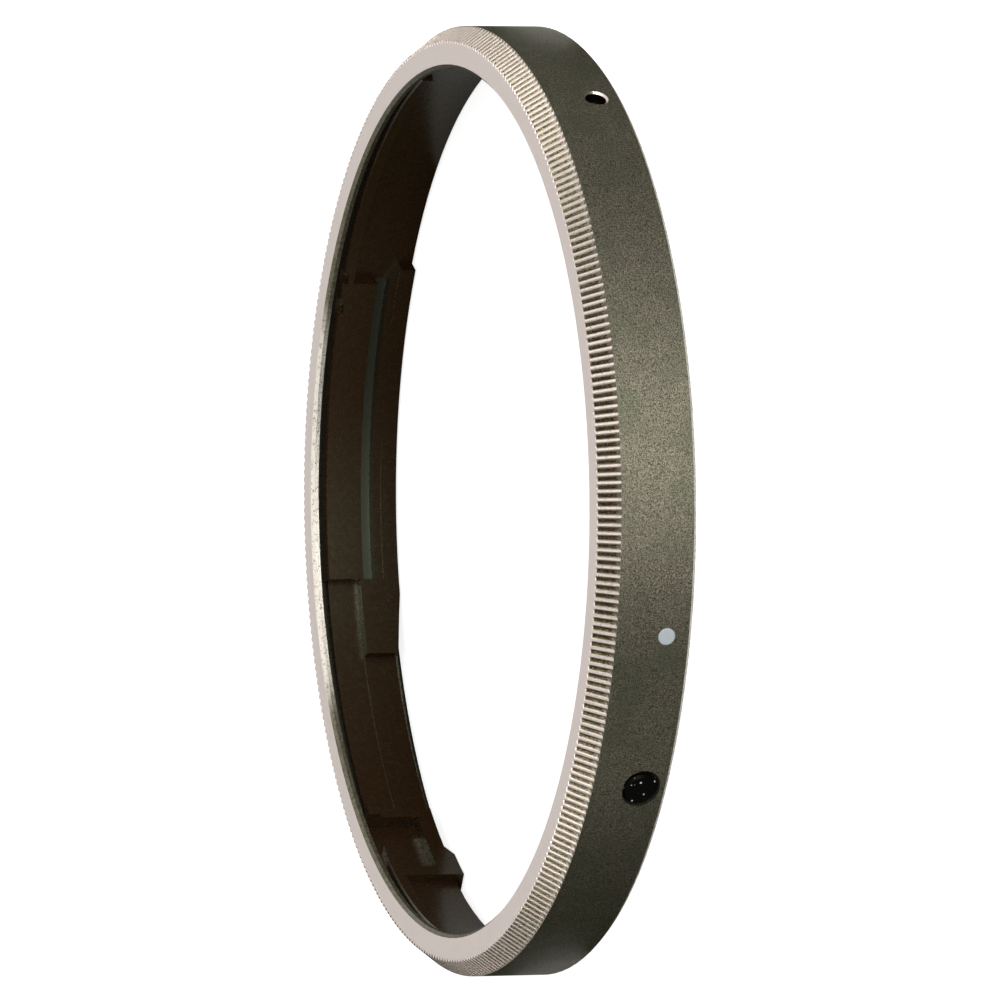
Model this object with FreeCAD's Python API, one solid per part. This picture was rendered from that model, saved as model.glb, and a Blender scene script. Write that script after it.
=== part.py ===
"""Lens ring cap: a knurled metal ring with a moulded bayonet ring inside.

The ring lies on its rear edge, with its axis on +Z and the knurled face up.
Angles are in degrees about +Z, from +X towards +Y. Lengths are in millimetres.
"""
import math
import os

import FreeCAD
import Part

os.makedirs("parts", exist_ok=True)

Vector = FreeCAD.Vector
ORIGIN = Vector(0, 0, 0)
AXIS = Vector(0, 0, 1)

# How far a cutter runs past what it cuts, in millimetres or degrees
CUT_PAST = 1.0

# Metal ring, outside
OUTER_R = 28.4
HEIGHT = 5.8
REAR_BEVEL = 0.2
CONE_LENGTH = 1.15
CONE_DROP = 0.87

# Metal ring, inside
BAND_WALL = 0.65
REAR_MOUTH = 0.25
LIP_WIDTH = 1.63
LIP_THICK = 0.45
LIP_CHAMFER = 0.2
SHOULDER_LENGTH = 1.05
SHOULDER_DROP = 0.8

# Knurl: straight ninety degree grooves along the cone
TEETH = 360
GROOVE_SHARE = 0.75
GROOVE_OVERLAP = 0.3
WEDGE_RISE = 1.5

# Holes and index dot in the band
SIDE_HOLE_ANGLE = 55.0
SIDE_HOLE_Z = 1.61
SIDE_HOLE_R = 0.63
SIDE_HOLE_CHAMFER = 0.12
PEG_HOLE_ANGLE = 322.8
PEG_HOLE_Z = 1.65
PEG_HOLE_R = 1.13
PEG_HOLE_SLIDE = 0.28
PEG_CLEARANCE = 0.1
PEG_SHIFT = 0.05
PEG_SINK = 0.1
PEG_CHAMFER = 0.15
DOT_ANGLE = 342.8
DOT_Z = 1.54
DOT_R = 0.53
DOT_DEPTH = 0.06

# Bayonet ring: a press fit in the metal ring, standing just clear of the surface below
RING_FIT = 0.02
REAR_SETBACK = 0.13
FRONT_GAP = 0.57
SHOULDER_CLEARANCE = 0.05
MOULD_WALL = 0.63
FLANGE_WIDTH = 1.43
FLANGE_THICK = 0.73
SMALL_CHAMFER = 0.1
ROOT_SINK = 0.15

# Bayonet lugs, all three alike
LUGS = 3
LUG_START = 146.2
LUG_END = 199.7
LUG_WIDTH = 1.33
LUG_THICK = 1.49
LUG_STEP = 0.06
LUG_STEP_LENGTH = 0.5
LUG_CORNER_RUN = 1.0
LUG_CORNER_DROP = 0.6
STOP_START = 189.4
STOP_HEIGHT = 2.49
CHANNEL = 0.85
CHANNEL_SINK = 0.13
FRONT_PAD_START = 148.2
OPEN_END = 224.1
OPEN_SINK = 0.1
OPEN_FRONT_DROP = 0.28

# Latch pocket in its raised frame, the relief of the rear rim and the small notches
FRAME_START = 224.1
FRAME_END = 237.8
FRAME_WIDTH = 1.13
POCKET_START = 225.6
POCKET_END = 235.7
POCKET_REAR = 1.6
POCKET_FLOOR_WALL = 0.25
LATCH_START = 230.0
LATCH_REAR = 2.5
LATCH_FRONT = 4.2
LATCH_HEIGHT = 0.45
RELIEF_LEVEL = 0.6
RELIEF_START = 199.7
RELIEF_END = 231.5
RELIEF_RAMP_IN = 8.0
RELIEF_RAMP_OUT = 1.7
SECOND_RELIEF_END = 262.0
NOTCH_DEPTH = 0.6
NOTCH_LENGTH = 0.38
FLANGE_NOTCHES = ((146.6, 148.2), (150.65, 152.85))

BORE_R = OUTER_R - BAND_WALL
FACE_R = OUTER_R - CONE_DROP
LIP_R = FACE_R - LIP_WIDTH
CONE_END_Z = HEIGHT - CONE_LENGTH
LIP_REAR_Z = HEIGHT - LIP_THICK
SHOULDER_Z = LIP_REAR_Z - SHOULDER_LENGTH

RING_R = BORE_R - RING_FIT
WALL_R = RING_R - MOULD_WALL
ROOT_R = WALL_R + ROOT_SINK
FLANGE_R = RING_R - FLANGE_WIDTH
RING_FRONT_Z = LIP_REAR_Z - FRONT_GAP
FLANGE_REAR_Z = RING_FRONT_Z - FLANGE_THICK


def turned(points, start=0.0, sweep=360.0):
    """Solid turned about the axis from a closed outline of (radius, height) points."""
    corners = [Vector(r, 0, z) for r, z in points]
    face = Part.Face(Part.makePolygon(corners + corners[:1]))
    solid = face.revolve(ORIGIN, AXIS, sweep)
    solid.rotate(ORIGIN, AXIS, start)
    return solid


def sector(r_in, r_out, z_low, z_high, start, end):
    """Block of a ring between two radii, two heights and two angles."""
    outline = [(r_in, z_low), (r_out, z_low), (r_out, z_high), (r_in, z_high)]
    return turned(outline, start, end - start)


def side_prism(points, angle, r_in, r_out):
    """Prism along the radius at an angle, from a closed outline of (tangential, height) points."""
    corners = [Vector(r_in, t, z) for t, z in points]
    face = Part.Face(Part.makePolygon(corners + corners[:1]))
    solid = face.extrude(Vector(r_out - r_in, 0, 0))
    solid.rotate(ORIGIN, AXIS, angle)
    return solid


def radial_round(r_small, r_large, z, angle, from_r, to_r, beside=0.0):
    """Cylinder or cone along the radius at an angle and a height, or beside that radius."""
    base = Vector(from_r, beside, z)
    length = to_r - from_r
    if abs(r_small - r_large) < 1e-9:
        solid = Part.makeCylinder(r_small, length, base, Vector(1, 0, 0))
    else:
        solid = Part.makeCone(r_small, r_large, length, base, Vector(1, 0, 0))
    solid.rotate(ORIGIN, AXIS, angle)
    return solid


def radial_slot(radius, slide, z, angle, from_r, to_r):
    """Prism along the radius with round ends, longer round the ring than along it by the slide."""
    half = slide / 2

    def point(t, up):
        return Vector(from_r, t, z + up)

    edges = [
        Part.makeLine(point(-half, -radius), point(half, -radius)),
        Part.Arc(point(half, -radius), point(half + radius, 0), point(half, radius)).toShape(),
        Part.makeLine(point(half, radius), point(-half, radius)),
        Part.Arc(point(-half, radius), point(-half - radius, 0), point(-half, -radius)).toShape(),
    ]
    solid = Part.Face(Part.Wire(edges)).extrude(Vector(to_r - from_r, 0, 0))
    solid.rotate(ORIGIN, AXIS, angle)
    return solid


def groove_cutter():
    """Wedge that cuts one groove at angle zero.

    Its long edges run to the apex of the cone, so the groove narrows as the cone does. Its rear
    end slopes up at 45 degrees to the front edge of the band.
    """
    apex = Vector(0, 0, HEIGHT + FACE_R * CONE_LENGTH / CONE_DROP)
    cone_side = math.hypot(CONE_LENGTH, CONE_DROP)
    outward = Vector(CONE_LENGTH / cone_side, 0, CONE_DROP / cone_side)
    half = math.pi * GROOVE_SHARE / TEETH
    depth = OUTER_R * math.sin(half)
    middle = Vector(OUTER_R * math.cos(half), 0, CONE_END_Z)
    sides = [middle + Vector(0, -depth, 0), middle + Vector(0, depth, 0)]
    bottom = middle - outward * depth

    def towards_apex(point, share):
        return point + (apex - point) * share

    front_share = (CONE_LENGTH + GROOVE_OVERLAP) / (apex.z - CONE_END_Z)
    bottom_end = towards_apex(bottom, depth / (apex - middle).Length)
    front = [towards_apex(bottom, front_share)]
    rear = [bottom_end]
    for side in sides:
        front.append(towards_apex(bottom + (side - bottom) * WEDGE_RISE, front_share))
        rear.append(bottom_end + (side - bottom_end) * WEDGE_RISE)
    outlines = [front, rear]
    for i in range(3):
        j = (i + 1) % 3
        outlines.append([front[i], front[j], rear[j], rear[i]])
    faces = [Part.Face(Part.makePolygon(o + o[:1])) for o in outlines]
    return Part.makeSolid(Part.makeShell(faces))


def cut_knurl(ring):
    """Cut all the grooves round the cone in one go."""
    first = groove_cutter()
    cutters = []
    for i in range(TEETH):
        cutter = first.copy()
        cutter.rotate(ORIGIN, AXIS, 360.0 * (i + 0.5) / TEETH)
        cutters.append(cutter)
    return ring.cut(Part.makeCompound(cutters))


def knurled_ring():
    """Thin metal ring: knurled cone in front, plain band behind, lip round the opening."""
    ring = turned([
        (OUTER_R - REAR_BEVEL, 0),
        (OUTER_R, REAR_BEVEL),
        (OUTER_R, CONE_END_Z),
        (FACE_R, HEIGHT),
        (LIP_R + LIP_CHAMFER, HEIGHT),
        (LIP_R, HEIGHT - LIP_CHAMFER),
        (LIP_R, LIP_REAR_Z),
        (BORE_R - SHOULDER_DROP, LIP_REAR_Z),
        (BORE_R, SHOULDER_Z),
        (BORE_R, REAR_MOUTH),
        (BORE_R + REAR_MOUTH, 0),
    ])
    past = OUTER_R + CUT_PAST
    inside = BORE_R - CUT_PAST
    flare = SIDE_HOLE_R + SIDE_HOLE_CHAMFER + CUT_PAST
    holes = [
        radial_round(SIDE_HOLE_R, SIDE_HOLE_R, SIDE_HOLE_Z, SIDE_HOLE_ANGLE, inside, past),
        radial_round(SIDE_HOLE_R, flare, SIDE_HOLE_Z, SIDE_HOLE_ANGLE,
                     OUTER_R - SIDE_HOLE_CHAMFER, past),
        radial_slot(PEG_HOLE_R, PEG_HOLE_SLIDE, PEG_HOLE_Z, PEG_HOLE_ANGLE, inside, past),
        radial_round(DOT_R, DOT_R, DOT_Z, DOT_ANGLE, OUTER_R - DOT_DEPTH, past),
    ]
    for hole in holes:
        ring = ring.cut(hole)
    return cut_knurl(ring)


def lug_parts(turn):
    """Lug, stop block and front pad of one bayonet group, turned from the first by an angle."""
    lug_r = RING_R - LUG_WIDTH
    lug_front = REAR_SETBACK + LUG_THICK
    lug = sector(lug_r, ROOT_R, REAR_SETBACK, lug_front, LUG_START + turn, LUG_END + turn)
    step = sector(LIP_R, lug_r + LUG_STEP, lug_front - LUG_STEP_LENGTH, HEIGHT,
                  LUG_START + turn - CUT_PAST, STOP_START + turn)
    above, low = lug_front + CUT_PAST, lug_front - LUG_CORNER_DROP
    corner = side_prism([(-CUT_PAST, above), (-CUT_PAST, low), (0, low),
                         (LUG_CORNER_RUN, lug_front), (LUG_CORNER_RUN, above)],
                        LUG_START + turn, LIP_R - CUT_PAST, WALL_R)
    stop = sector(lug_r, ROOT_R, REAR_SETBACK, REAR_SETBACK + STOP_HEIGHT,
                  STOP_START + turn, LUG_END + turn)
    pad = sector(FLANGE_R, ROOT_R, lug_front + CHANNEL, FLANGE_REAR_Z,
                 FRONT_PAD_START + turn, STOP_START + turn)
    return [lug.cut(step).cut(corner), stop, pad]


def lug_cutters(turn):
    """Channel floor in front of one lug, and the opening in the flange beyond its stop."""
    lug_front = REAR_SETBACK + LUG_THICK
    channel = sector(LIP_R, WALL_R + CHANNEL_SINK, lug_front, lug_front + CHANNEL,
                     FRONT_PAD_START + turn, STOP_START + turn)
    opening = sector(LIP_R, WALL_R + OPEN_SINK, REAR_SETBACK + STOP_HEIGHT, HEIGHT,
                     STOP_START + turn, OPEN_END + turn)
    front = sector(LIP_R, OUTER_R, RING_FRONT_Z - OPEN_FRONT_DROP, HEIGHT,
                   STOP_START + turn, OPEN_END + turn)
    return [channel, opening, front]


def relief_cutters():
    """Cutters that set the rear rim back beside the pocket, with a ramp at either end."""
    r_in, r_out = LIP_R, OUTER_R
    level = RELIEF_LEVEL
    below = -CUT_PAST
    cutters = [sector(r_in, r_out, below, level, RELIEF_START, RELIEF_END),
               sector(r_in, r_out, below, level, FRAME_END, SECOND_RELIEF_END)]
    ramp_in = math.radians(RELIEF_RAMP_IN) * WALL_R
    cutters.append(side_prism([(-ramp_in, REAR_SETBACK), (-ramp_in, below), (0, below),
                               (0, level)], RELIEF_START, r_in, r_out))
    ramp_out = math.radians(RELIEF_RAMP_OUT) * WALL_R
    cutters.append(side_prism([(0, level), (0, below), (ramp_out, below),
                               (ramp_out, REAR_SETBACK)], RELIEF_END, r_in, r_out))
    return cutters


def add_pocket(ring):
    """Raised frame, the latch pocket sunk into it, and the low latch block on its floor."""
    frame = sector(RING_R - FRAME_WIDTH, ROOT_R, REAR_SETBACK, RING_FRONT_Z,
                   FRAME_START, FRAME_END)
    floor_r = RING_R - POCKET_FLOOR_WALL
    pocket = sector(LIP_R, floor_r, POCKET_REAR, HEIGHT, POCKET_START, POCKET_END)
    block = sector(floor_r - LATCH_HEIGHT, RING_R - POCKET_FLOOR_WALL / 2,
                   LATCH_REAR, LATCH_FRONT, LATCH_START, POCKET_END)
    return ring.fuse(frame).cut(pocket).fuse(block)


def peg():
    """Round peg in the rear corner of the metal ring's slot, just below its surface."""
    radius = PEG_HOLE_R - PEG_CLEARANCE
    top = OUTER_R - PEG_SINK
    z = PEG_HOLE_Z - PEG_SHIFT
    beside = -PEG_HOLE_SLIDE / 2 - PEG_SHIFT
    shank = radial_round(radius, radius, z, PEG_HOLE_ANGLE, ROOT_R, top - PEG_CHAMFER, beside)
    tip = radial_round(radius, radius - PEG_CHAMFER, z, PEG_HOLE_ANGLE, top - PEG_CHAMFER, top,
                       beside)
    return shank.fuse(tip)


def bayonet_ring():
    """Moulded ring with a front flange, three bayonet lugs, a latch pocket and a peg."""
    slope = SHOULDER_DROP / SHOULDER_LENGTH
    nose_z = SHOULDER_Z - SHOULDER_CLEARANCE
    nose_r = RING_R - (RING_FRONT_Z - nose_z) * slope - SHOULDER_CLEARANCE
    ring = turned([
        (RING_R, REAR_SETBACK),
        (RING_R, nose_z),
        (nose_r, RING_FRONT_Z),
        (FLANGE_R + SMALL_CHAMFER, RING_FRONT_Z),
        (FLANGE_R, RING_FRONT_Z - SMALL_CHAMFER),
        (FLANGE_R, FLANGE_REAR_Z),
        (WALL_R, FLANGE_REAR_Z),
        (WALL_R, REAR_SETBACK + SMALL_CHAMFER),
        (WALL_R + SMALL_CHAMFER, REAR_SETBACK),
    ])
    pieces = []
    for i in range(LUGS):
        pieces += lug_parts(360.0 * i / LUGS)
    ring = ring.fuse(pieces + [peg()])
    cutters = []
    for i in range(LUGS):
        cutters += lug_cutters(360.0 * i / LUGS)
    ring = add_pocket(ring.cut(cutters))
    cutters = relief_cutters()
    for start, end in FLANGE_NOTCHES:
        cutters.append(sector(LIP_R, FLANGE_R + NOTCH_DEPTH, RING_FRONT_Z - NOTCH_LENGTH,
                              HEIGHT, start, end))
    return ring.cut(cutters)


def save(shape, name):
    """Write one solid to its STEP file."""
    solids = shape.Solids
    if len(solids) != 1 or not shape.isValid():
        raise ValueError("%s: %d solids, valid %s" % (name, len(solids), shape.isValid()))
    solids[0].exportStep(os.path.join("parts", name + ".step"))


save(knurled_ring(), "knurled_ring")
save(bayonet_ring(), "bayonet_ring")
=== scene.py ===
import math

import bmesh
import bpy
from mathutils import Matrix, Vector


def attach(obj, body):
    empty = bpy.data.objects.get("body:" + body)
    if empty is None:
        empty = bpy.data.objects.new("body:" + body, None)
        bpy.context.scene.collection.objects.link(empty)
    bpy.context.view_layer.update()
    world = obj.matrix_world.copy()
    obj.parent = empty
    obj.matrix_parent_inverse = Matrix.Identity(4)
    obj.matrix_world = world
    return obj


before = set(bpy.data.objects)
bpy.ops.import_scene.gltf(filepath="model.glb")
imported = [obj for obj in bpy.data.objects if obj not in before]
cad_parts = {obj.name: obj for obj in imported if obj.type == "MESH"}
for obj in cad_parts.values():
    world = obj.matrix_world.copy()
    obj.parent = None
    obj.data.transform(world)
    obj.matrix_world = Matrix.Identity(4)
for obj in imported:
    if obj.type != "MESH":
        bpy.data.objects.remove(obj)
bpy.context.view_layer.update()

MM = 0.001

# Sizes of the ring, in millimetres
OUTER_R = 28.4
HEIGHT = 5.8
CONE_END_Z = 4.65
CONE_DROP = 0.87
CONE_SLOPE = CONE_DROP / (HEIGHT - CONE_END_Z)
FACE_R = OUTER_R - CONE_DROP
GROOVE_END_SLOPE = 0.85
GROOVE_FRONT_SLOPE = 0.5
REAR_BEVEL = 0.2
SIDE_HOLE = dict(angle=55.0, z=1.61, r=0.63, chamfer=0.12)
WALL_R = 27.1
LUG_FRONT_Z = 1.62
CHANNEL = 0.85
DOT = dict(angle=342.8, z=1.54, r=0.53, depth=0.06)

# The paint's share of the recess, how far it lies below the band, its rounded edge, and its play
PAINT_SHARE = 0.985
PAINT_SINK = 0.006
PAINT_EDGE = 0.85
PAINT_EDGE_DROP = 0.02
PAINT_PLAY = 0.004

# Where one tone of the metal passes into the next, in millimetres
CONE_INNER = (26.5, 26.6)
LAND_TOP = (-0.014, -0.004)
WORN_FLANK = (-0.06, 0.0)
LIP_WALL = (26.2, 26.1)
# Along x, the far side of the lip wall, where the painted highlight fades in
LIP_PAINTED_HIGHLIGHT = (-22.4, -24.2)

# Camera of the photograph: where the ring's rear centre lies from it, in millimetres, and its turn
RING_FROM_CAMERA = (2.2009, 0.03637, 684.881)
VIEW_YAW = 1.2417185
VIEW_PITCH = -0.017279
VIEW_ROLL = -0.013598
LENS = 411.503
SENSOR = 36.0

# Light: the world's level, and what reflections see of it above, near the ground and behind the ring
WORLD_LEVEL = 0.42
TENT_HIGH = 0.95
TENT_LOW = 0.04
TENT_TILT = 0.25
TENT_EDGE = (0.12, 0.4)
BACK_EDGE = (-0.55, -0.85)
BACK_LOW = (0.05, 0.25)

# Floor: its colour, its glow for the camera, and what reflections see of it: painted dark olive
# shade near the ring and painted light beside it
FLOOR_COLOUR = 0.8
FLOOR_GLOW = 0.8
FLOOR_SEEN = 0.07
FLOOR_TINT = (0.9, 1.0, 0.6)
FLOOR_PAINTED_LIGHT = 0.7
SIDES_EDGE = (0.745, 0.77)
SIDES_WALL = (27.0, 28.0)
SIDES_OUTSIDE = 0.2
SIDES_SPREAD = 0.012

# Lamps, with their directions from the ring, sizes in metres and watts
LAMP_DISTANCE = 0.5
KEY_LAMP = dict(direction=(0.7, 0.3, 0.8), size=(0.5, 0.5), watts=0.45)
LOW_LAMP_RISE = 0.12
LOW_LAMP_HEIGHT = 0.11

# Low lamps round the ring: direction about the axis in degrees, width in metres and watts
LOW_LAMPS = ((11, 0.38, 2.1), (52, 0.06, 0.3), (98, 0.08, 0.35), (-60, 0.08, 0.3))


class Shader:
    """Small helper that adds nodes to a material and links them."""

    def __init__(self, name):
        self.material = bpy.data.materials.new(name)
        self.material.use_nodes = True
        self.tree = self.material.node_tree
        self.tree.nodes.clear()
        self.output = self.tree.nodes.new("ShaderNodeOutputMaterial")

    def add(self, kind, inputs=None, **settings):
        """Add a node; its inputs are values or sockets of other nodes."""
        node = self.tree.nodes.new("ShaderNode" + kind)
        for name, value in settings.items():
            setattr(node, name, value)
        for name, value in (inputs or {}).items():
            if isinstance(value, bpy.types.NodeSocket):
                self.tree.links.new(value, node.inputs[name])
            else:
                node.inputs[name].default_value = value
        return node

    def math(self, operation, *values, clamp=False):
        """Result of a Math node."""
        inputs = {i: value for i, value in enumerate(values)}
        return self.add("Math", inputs, operation=operation, use_clamp=clamp).outputs[0]

    def ramp(self, value, low, high):
        """Smooth step of a value from low to high, as 0 to 1."""
        node = self.add("MapRange", {"Value": value, "From Min": low, "From Max": high},
                        interpolation_type="SMOOTHSTEP", clamp=True)
        return node.outputs["Result"]

    def mix(self, share, first, second):
        """Colour between two colours."""
        node = self.add("Mix", data_type="RGBA")
        for socket, value in ((0, share), (6, first), (7, second)):
            if isinstance(value, bpy.types.NodeSocket):
                self.tree.links.new(value, node.inputs[socket])
            elif socket == 0:
                node.inputs[socket].default_value = value
            else:
                node.inputs[socket].default_value = (*value, 1.0)
        return node.outputs[2]

    def place(self):
        """Place on the part in millimetres: the vector, its parts and its distance from the axis."""
        coord = self.add("TexCoord").outputs["Object"]
        scaled = self.add("VectorMath", {0: coord, "Scale": 1 / MM}, operation="SCALE").outputs[0]
        parts = self.add("SeparateXYZ", {0: scaled})
        x, y, z = parts.outputs
        radius = self.math("SQRT", self.math("ADD", self.math("MULTIPLY", x, x),
                                             self.math("MULTIPLY", y, y)))
        return scaled, x, y, z, radius

    def finish(self, surface):
        """Link the surface shader to the output and return the material."""
        self.tree.links.new(surface, self.output.inputs["Surface"])
        return self.material


def srgb(r, g, b):
    """Linear colour of an 8-bit display colour."""
    def linear(v):
        v /= 255
        return v / 12.92 if v <= 0.04045 else ((v + 0.055) / 1.055) ** 2.4
    return (linear(r), linear(g), linear(b))


def hole_distance(shader, x, y, z, hole):
    """Distance in millimetres from the radial axis of a hole."""
    a = math.radians(hole["angle"])
    across = shader.math("SUBTRACT", shader.math("MULTIPLY", y, math.cos(a)),
                         shader.math("MULTIPLY", x, math.sin(a)))
    along = shader.math("ADD", shader.math("MULTIPLY", x, math.cos(a)),
                        shader.math("MULTIPLY", y, math.sin(a)))
    up = shader.math("SUBTRACT", z, hole["z"])
    distance = shader.math("SQRT", shader.math("ADD", shader.math("MULTIPLY", across, across),
                                               shader.math("MULTIPLY", up, up)))
    near_side = shader.math("GREATER_THAN", along, 0.0)
    return shader.math("ADD", distance, shader.math("MULTIPLY",
                                                    shader.math("SUBTRACT", 1.0, near_side), 99.0))


def metal_material():
    """Bead-blasted dark bronze-grey metal with pale turned edges, face and lands; painted highlights
    on the far lip wall and the groove ends, and painted shade on the side hole's wall.
    """
    s = Shader("ring_metal")
    place, x, y, z, radius = s.place()
    cone_r = s.math("SUBTRACT", OUTER_R, s.math("MULTIPLY", s.math("SUBTRACT", z, CONE_END_Z),
                                                CONE_SLOPE))
    below_cone = s.math("SUBTRACT", radius, cone_r)
    on_cone = s.math("MULTIPLY", s.ramp(z, CONE_END_Z - 0.005, CONE_END_Z + 0.005),
                     s.ramp(radius, *CONE_INNER))
    land = s.math("MULTIPLY", s.ramp(below_cone, *LAND_TOP), on_cone)
    face = s.ramp(z, HEIGHT - 0.02, HEIGHT - 0.005)
    bevel = s.math("MULTIPLY", s.ramp(z, REAR_BEVEL + 0.01, REAR_BEVEL - 0.005),
                   s.ramp(radius, OUTER_R - REAR_BEVEL - 0.02, OUTER_R - REAR_BEVEL))
    near_hole = hole_distance(s, x, y, z, SIDE_HOLE)
    hole_r = SIDE_HOLE["r"]
    chamfer_r = hole_r + SIDE_HOLE["chamfer"]
    chamfer_end = OUTER_R - SIDE_HOLE["chamfer"]
    chamfer = s.math("MULTIPLY", s.ramp(near_hole, chamfer_r + 0.01, chamfer_r - 0.03),
                     s.ramp(radius, chamfer_end - 0.01, chamfer_end + 0.01))
    cut = s.math("MAXIMUM", s.math("MAXIMUM", land, face), s.math("MAXIMUM", bevel, chamfer))
    groove = s.math("MULTIPLY", on_cone, s.math("SUBTRACT", 1.0, land), clamp=True)
    lip = s.ramp(radius, *LIP_WALL)
    rear_end = s.math("ADD", s.math("SUBTRACT", z, CONE_END_Z),
                      s.math("MULTIPLY", below_cone, GROOVE_END_SLOPE))
    groove_end = s.math("MULTIPLY", s.ramp(rear_end, 0.02, -0.01), groove)
    front_end = s.math("SUBTRACT", s.math("SUBTRACT", z, HEIGHT),
                       s.math("MULTIPLY", s.math("SUBTRACT", radius, FACE_R), GROOVE_FRONT_SLOPE))
    groove_front = s.math("MULTIPLY", s.ramp(front_end, -0.01, 0.01), groove)

    fine = s.add("TexNoise", {"Vector": place, "Scale": 12.0, "Detail": 1.0, "Roughness": 0.8})
    grain = s.add("TexNoise", {"Vector": place, "Scale": 5.0, "Detail": 3.0, "Roughness": 0.8})
    cloud = s.add("TexNoise", {"Vector": place, "Scale": 0.45, "Detail": 4.0}).outputs["Fac"]
    dark = s.mix(s.ramp(fine.outputs["Fac"], 0.38, 0.64), srgb(76, 76, 60), srgb(154, 148, 132))
    dark = s.mix(s.math("MULTIPLY", s.ramp(grain.outputs["Fac"], 0.4, 0.62), 0.45), dark,
                 srgb(130, 121, 105))
    dark = s.mix(s.math("MULTIPLY", s.ramp(cloud, 0.4, 0.7), 0.4), dark, srgb(96, 102, 82))
    worn = s.ramp(s.math("ADD", below_cone, s.math("MULTIPLY", grain.outputs["Fac"], 0.1)),
                  *WORN_FLANK)
    flank = s.mix(s.ramp(fine.outputs["Fac"], 0.45, 0.6), srgb(66, 58, 38), srgb(132, 126, 100))
    flank = s.mix(worn, flank, srgb(186, 172, 160))
    dark = s.mix(s.math("MULTIPLY", groove, s.math("SUBTRACT", 1.0, groove_end)), dark, flank)
    # Painted highlight: the groove ends, which have the band's finish, are lightened toward a pale
    # tone
    dark = s.mix(s.math("MULTIPLY", groove_end, 0.4), dark, srgb(170, 163, 148))
    dark = s.mix(groove_front, dark, srgb(222, 209, 201))
    lip_tone = s.mix(s.ramp(grain.outputs["Fac"], 0.4, 0.6), srgb(84, 80, 62), srgb(120, 114, 98))
    # Painted highlight: the lip wall's far side gets a near-white tone in grain-shaped patches
    lip_painted_highlight = s.ramp(x, *LIP_PAINTED_HIGHLIGHT)
    lip_tone = s.mix(s.math("MULTIPLY", lip_painted_highlight, s.ramp(grain.outputs["Fac"], 0.25, 0.5)), lip_tone,
                     srgb(246, 238, 226))
    dark = s.mix(s.math("MULTIPLY", lip, 0.8), dark, lip_tone)
    # Painted shade: the side hole's wall is painted near black
    hole_wall_painted_shade = s.math("MULTIPLY", s.ramp(near_hole, hole_r + 0.03, hole_r + 0.02),
                         s.ramp(radius, chamfer_end + 0.02, chamfer_end - 0.01))
    dark = s.mix(hole_wall_painted_shade, dark, srgb(22, 20, 15))
    pale = s.mix(land, srgb(222, 209, 201), srgb(208, 197, 191))
    pale = s.mix(s.math("MULTIPLY", land, s.ramp(fine.outputs["Fac"], 0.55, 0.7)), pale,
                 srgb(150, 140, 130))
    pale = s.mix(bevel, pale, s.mix(s.ramp(grain.outputs["Fac"], 0.4, 0.55), srgb(196, 192, 182),
                                    srgb(240, 238, 232)))
    colour = s.mix(cut, dark, pale)
    rough = s.mix(cut, (0.4, 0.4, 0.4), (0.28, 0.28, 0.28))
    bump = s.add("Bump", {"Height": fine.outputs["Fac"], "Strength": 0.6, "Distance": 0.00004})
    metallic = s.math("SUBTRACT", 0.94, s.math("MULTIPLY", bevel, 0.6))
    surface = s.add("BsdfPrincipled", {"Base Color": colour, "Metallic": metallic,
                                       "Roughness": rough, "Normal": bump.outputs[0]})
    return s.finish(surface.outputs[0])


def plastic_material():
    """Glossy black moulded plastic, a little brown; the peg and the channel floor are dull and
    painted near black as painted shade, and the peg has pale specks as painted glints.
    """
    s = Shader("ring_plastic")
    place, x, y, z, radius = s.place()
    grain = s.add("TexNoise", {"Vector": place, "Scale": 3.0, "Detail": 4.0})
    colour = s.mix(grain.outputs["Fac"], srgb(27, 10, 2), srgb(40, 20, 7))
    # Painted shade: the channel floor behind the lug and the peg are painted near black and dull
    slot = s.math("MULTIPLY", s.ramp(radius, WALL_R + 0.02, WALL_R + 0.08),
                  s.ramp(radius, WALL_R + 0.2, WALL_R + 0.16))
    painted_shade = s.math("MULTIPLY", slot,
                  s.math("MULTIPLY", s.ramp(z, LUG_FRONT_Z - 0.02, LUG_FRONT_Z + 0.02),
                         s.ramp(z, LUG_FRONT_Z + CHANNEL + 0.02, LUG_FRONT_Z + CHANNEL - 0.02)))
    peg = s.ramp(radius, OUTER_R - 0.4, OUTER_R - 0.3)
    painted_shade = s.math("MAXIMUM", painted_shade, peg)
    colour = s.mix(painted_shade, colour, srgb(4, 4, 3))
    # Painted glints: pale specks on the peg
    painted_glint = s.add("TexVoronoi", {"Vector": place, "Scale": 2.6}, feature="F1")
    painted_glint = s.math("MULTIPLY", s.ramp(painted_glint.outputs["Distance"], 0.2, 0.14),
                   s.ramp(radius, OUTER_R - 0.3, OUTER_R - 0.2))
    colour = s.mix(painted_glint, colour, srgb(170, 172, 168))
    rough = s.add("MapRange", {"Value": grain.outputs["Fac"], "To Min": 0.24, "To Max": 0.3})
    rough = s.math("MAXIMUM", rough.outputs[0], s.math("MULTIPLY", painted_shade, 0.5))
    bump = s.add("Bump", {"Height": grain.outputs["Fac"], "Strength": 0.1, "Distance": 0.00005})
    tint = s.mix(peg, (0.92, 1.0, 0.7), (0.06, 0.06, 0.05))
    surface = s.add("BsdfPrincipled", {"Base Color": colour, "Roughness": rough,
                                       "Normal": bump.outputs[0], "IOR": 1.7,
                                       "Specular Tint": tint})
    return s.finish(surface.outputs[0])


def paint_material():
    """Pale blue-grey paint with fine specks."""
    s = Shader("dot_paint")
    place = s.place()[0]
    grain = s.add("TexNoise", {"Vector": place, "Scale": 14.0, "Detail": 2.0})
    colour = s.mix(grain.outputs["Fac"], srgb(140, 146, 150), srgb(160, 166, 168))
    bump = s.add("Bump", {"Height": grain.outputs["Fac"], "Strength": 0.2, "Distance": 0.00002})
    surface = s.add("BsdfPrincipled", {"Base Color": colour, "Roughness": 0.5,
                                       "Normal": bump.outputs[0]})
    return s.finish(surface.outputs[0])


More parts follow.
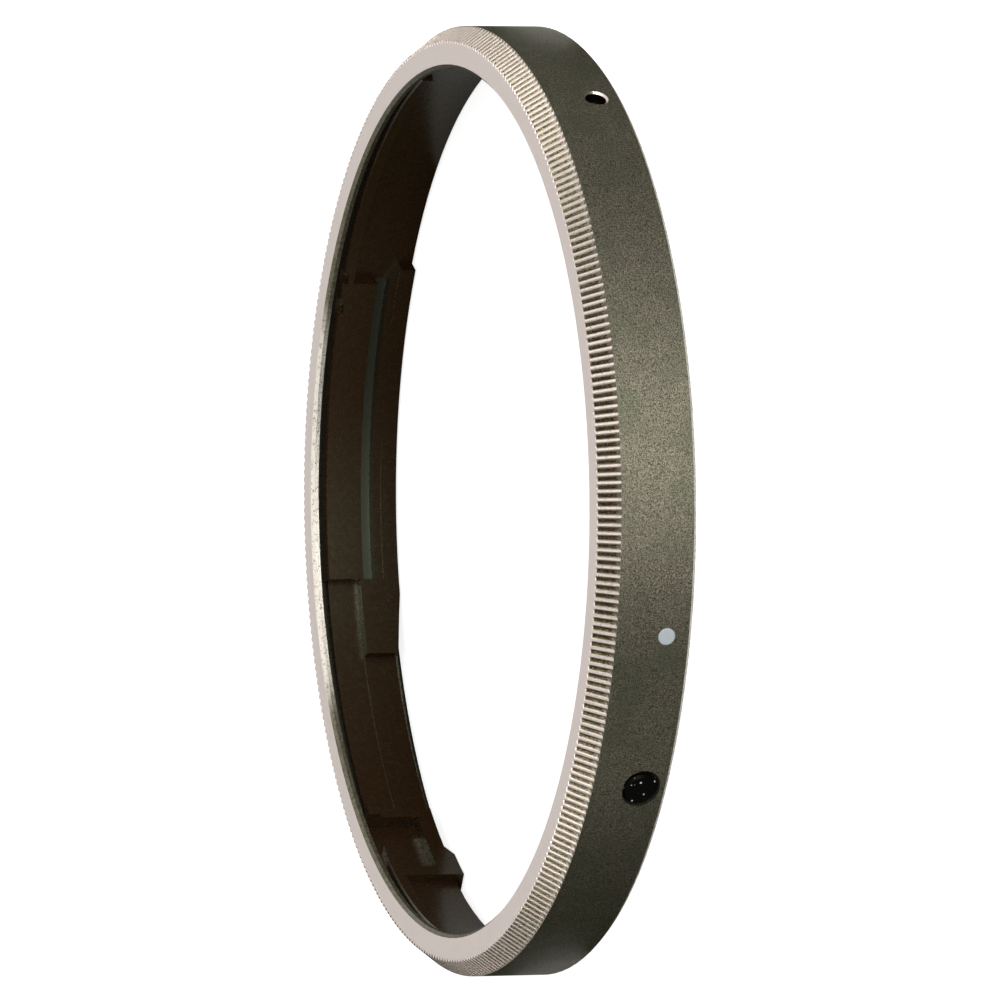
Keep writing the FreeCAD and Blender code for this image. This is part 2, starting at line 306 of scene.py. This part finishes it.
def index_dot():
    """Paint that fills the round recess, nearly flush with the band."""
    rings, spokes = 8, 64
    mesh = bmesh.new()
    a = math.radians(DOT["angle"])
    out = Vector((math.cos(a), math.sin(a), 0))
    side = Vector((-math.sin(a), math.cos(a), 0))

    def point(share, turn, sink):
        t = DOT["r"] * PAINT_SHARE * share * math.cos(turn)
        h = DOT["r"] * PAINT_SHARE * share * math.sin(turn)
        radius = math.sqrt((OUTER_R - sink) ** 2 - t * t)
        return (out * radius + side * t + Vector((0, 0, DOT["z"] + h))) * MM

    def sink(share):
        beyond = max(0.0, share - PAINT_EDGE) / (1 - PAINT_EDGE)
        return PAINT_SINK + PAINT_EDGE_DROP * beyond

    centre = mesh.verts.new(point(0, 0, sink(0)))
    last = None
    for i in range(1, rings + 1):
        share = i / rings
        row = [mesh.verts.new(point(share, 2 * math.pi * k / spokes, sink(share)))
               for k in range(spokes)]
        for k in range(spokes):
            n = (k + 1) % spokes
            if last is None:
                mesh.faces.new((centre, row[k], row[n]))
            else:
                mesh.faces.new((last[k], row[k], row[n], last[n]))
        last = row
    floor = [mesh.verts.new(point(1, 2 * math.pi * k / spokes, DOT["depth"] - PAINT_PLAY))
             for k in range(spokes)]
    for k in range(spokes):
        n = (k + 1) % spokes
        mesh.faces.new((last[k], floor[k], floor[n], last[n]))
    mesh.faces.new(list(reversed(floor)))
    data = bpy.data.meshes.new("index_dot")
    bmesh.ops.recalc_face_normals(mesh, faces=mesh.faces)
    mesh.to_mesh(data)
    mesh.free()
    for face in data.polygons:
        face.use_smooth = True
    piece = bpy.data.objects.new("index_dot", data)
    bpy.context.scene.collection.objects.link(piece)
    data.materials.append(paint_material())
    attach(piece, "root")
    return piece


def dress(node, material):
    """Give a node of the frame its finish."""
    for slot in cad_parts[node].material_slots:
        slot.material = material


def camera_matrix():
    """Turn of the part seen from the camera: rows are the picture's right, down and away."""
    sy, cy = math.sin(VIEW_YAW), math.cos(VIEW_YAW)
    sp, cp = math.sin(VIEW_PITCH), math.cos(VIEW_PITCH)
    sr, cr = math.sin(VIEW_ROLL), math.cos(VIEW_ROLL)
    turn = Matrix(((cy, 0, -sy), (0, -1, 0), (-sy, 0, -cy)))
    pitch = Matrix(((1, 0, 0), (0, cp, -sp), (0, sp, cp)))
    roll = Matrix(((cr, -sr, 0), (sr, cr, 0), (0, 0, 1)))
    return roll @ pitch @ turn


def add_camera():
    """Camera at the photograph's place, looking along its axis."""
    seen = camera_matrix()
    back = seen.transposed()
    place = -(back @ Vector(RING_FROM_CAMERA)) * MM
    right, up, behind = (back @ Vector(v) for v in ((1, 0, 0), (0, -1, 0), (0, 0, -1)))
    camera = bpy.data.cameras.new("camera")
    camera.lens = LENS
    camera.sensor_width = SENSOR
    camera.clip_start, camera.clip_end = 0.05, 10.0
    rig = bpy.data.objects.new("camera", camera)
    bpy.context.scene.collection.objects.link(rig)
    columns = Matrix((right, up, behind)).transposed().to_4x4()
    rig.matrix_world = Matrix.Translation(place) @ columns
    bpy.context.scene.camera = rig


def add_world():
    """Even grey world light; reflections see a white tent, darker near the ground, white behind."""
    world = bpy.data.worlds.new("world")
    bpy.context.scene.world = world
    world.use_nodes = True
    tree = world.node_tree
    background = tree.nodes["Background"]
    background.inputs["Color"].default_value = (1, 1, 1, 1)

    def ramp(value, low, high):
        node = tree.nodes.new("ShaderNodeMapRange")
        node.interpolation_type = "SMOOTHSTEP"
        tree.links.new(value, node.inputs["Value"])
        node.inputs["From Min"].default_value, node.inputs["From Max"].default_value = low, high
        return node.outputs["Result"]

    def larger(first, second):
        node = tree.nodes.new("ShaderNodeMath")
        node.operation = "MAXIMUM"
        tree.links.new(first, node.inputs[0])
        tree.links.new(second, node.inputs[1])
        return node.outputs[0]

    def mix(share, low, high):
        node = tree.nodes.new("ShaderNodeMix")
        tree.links.new(share, node.inputs[0])
        for socket, value in ((2, low), (3, high)):
            if isinstance(value, float):
                node.inputs[socket].default_value = value
            else:
                tree.links.new(value, node.inputs[socket])
        return node.outputs[0]

    split = tree.nodes.new("ShaderNodeSeparateXYZ")
    coord = tree.nodes.new("ShaderNodeTexCoord")
    tree.links.new(coord.outputs["Generated"], split.inputs[0])
    tilt = tree.nodes.new("ShaderNodeMath")
    tilt.operation = "MULTIPLY_ADD"
    tree.links.new(split.outputs[1], tilt.inputs[0])
    tilt.inputs[1].default_value = TENT_TILT
    tree.links.new(split.outputs[2], tilt.inputs[2])
    behind = tree.nodes.new("ShaderNodeMath")
    behind.operation = "MULTIPLY"
    tree.links.new(ramp(split.outputs[0], *BACK_EDGE), behind.inputs[0])
    tree.links.new(ramp(tilt.outputs[0], *BACK_LOW), behind.inputs[1])
    bright = larger(ramp(tilt.outputs[0], *TENT_EDGE), behind.outputs[0])
    tent = mix(bright, TENT_LOW, TENT_HIGH)
    path = tree.nodes.new("ShaderNodeLightPath")
    strength = mix(path.outputs["Is Glossy Ray"], WORLD_LEVEL, tent)
    strength = mix(path.outputs["Is Camera Ray"], strength, 1.0)
    tree.links.new(strength, background.inputs["Strength"])


def add_floor():
    """Plain pale floor, white to the camera, with a soft shadow; reflections see it as painted dark
    olive shade, with painted light beside the ring.
    """
    size = 3.0
    data = bpy.data.meshes.new("floor")
    corners = [(-size, -size, 0), (size, -size, 0), (size, size, 0), (-size, size, 0)]
    data.from_pydata(corners, [], [(0, 1, 2, 3)])
    floor = bpy.data.objects.new("floor", data)
    bpy.context.scene.collection.objects.link(floor)
    s = Shader("floor_white")
    path = s.add("LightPath").outputs
    _, _, y, _, radius = s.place()
    aside = s.math("ABSOLUTE", s.math("DIVIDE", y, radius))
    spread = s.math("MAXIMUM", s.math("SUBTRACT", radius, OUTER_R), 0.0)
    outside = s.math("MULTIPLY", s.ramp(radius, *SIDES_WALL),
                     s.math("ADD", s.math("MULTIPLY", spread, SIDES_SPREAD), SIDES_OUTSIDE))
    # Painted light: beside the ring the floor turns bright, for reflections only
    painted_light_beside = s.ramp(s.math("SUBTRACT", aside, outside), *SIDES_EDGE)
    reflected = s.mix(painted_light_beside, tuple(FLOOR_SEEN * share for share in FLOOR_TINT),
                      (FLOOR_PAINTED_LIGHT,) * 3)
    colour = s.mix(path["Is Glossy Ray"], (FLOOR_COLOUR,) * 3, reflected)
    diffuse = s.add("BsdfDiffuse", {"Color": colour})
    glow = s.add("Emission", {"Color": (1, 1, 1, 1), "Strength": FLOOR_GLOW})
    none = s.add("Emission", {"Strength": 0.0})
    shown = s.add("MixShader", {0: path["Is Camera Ray"], 1: none.outputs[0], 2: glow.outputs[0]})
    total = s.add("AddShader", {0: diffuse.outputs[0], 1: shown.outputs[0]})
    data.materials.append(s.finish(total.outputs[0]))


def add_lamp(name, direction, size, watts):
    """Soft rectangular lamp that looks at the ring from a direction."""
    light = bpy.data.lights.new(name, "AREA")
    light.shape = "RECTANGLE"
    light.size, light.size_y = size
    light.energy = watts
    lamp = bpy.data.objects.new(name, light)
    bpy.context.scene.collection.objects.link(lamp)
    towards = Vector(direction).normalized()
    lamp.location = towards * LAMP_DISTANCE
    lamp.rotation_mode = "QUATERNION"
    lamp.rotation_quaternion = towards.to_track_quat("Z", "Y")


add_camera()
add_world()
add_floor()
add_lamp("key", **KEY_LAMP)
for i, (azimuth, width, watts) in enumerate(LOW_LAMPS):
    turn = math.radians(azimuth)
    add_lamp("low_%d" % i, (math.cos(turn), math.sin(turn), LOW_LAMP_RISE),
             (width, LOW_LAMP_HEIGHT), watts)
dress("knurled_ring", metal_material())
dress("bayonet_ring", plastic_material())
index_dot()

scene = bpy.context.scene
scene.view_settings.view_transform = "Standard"
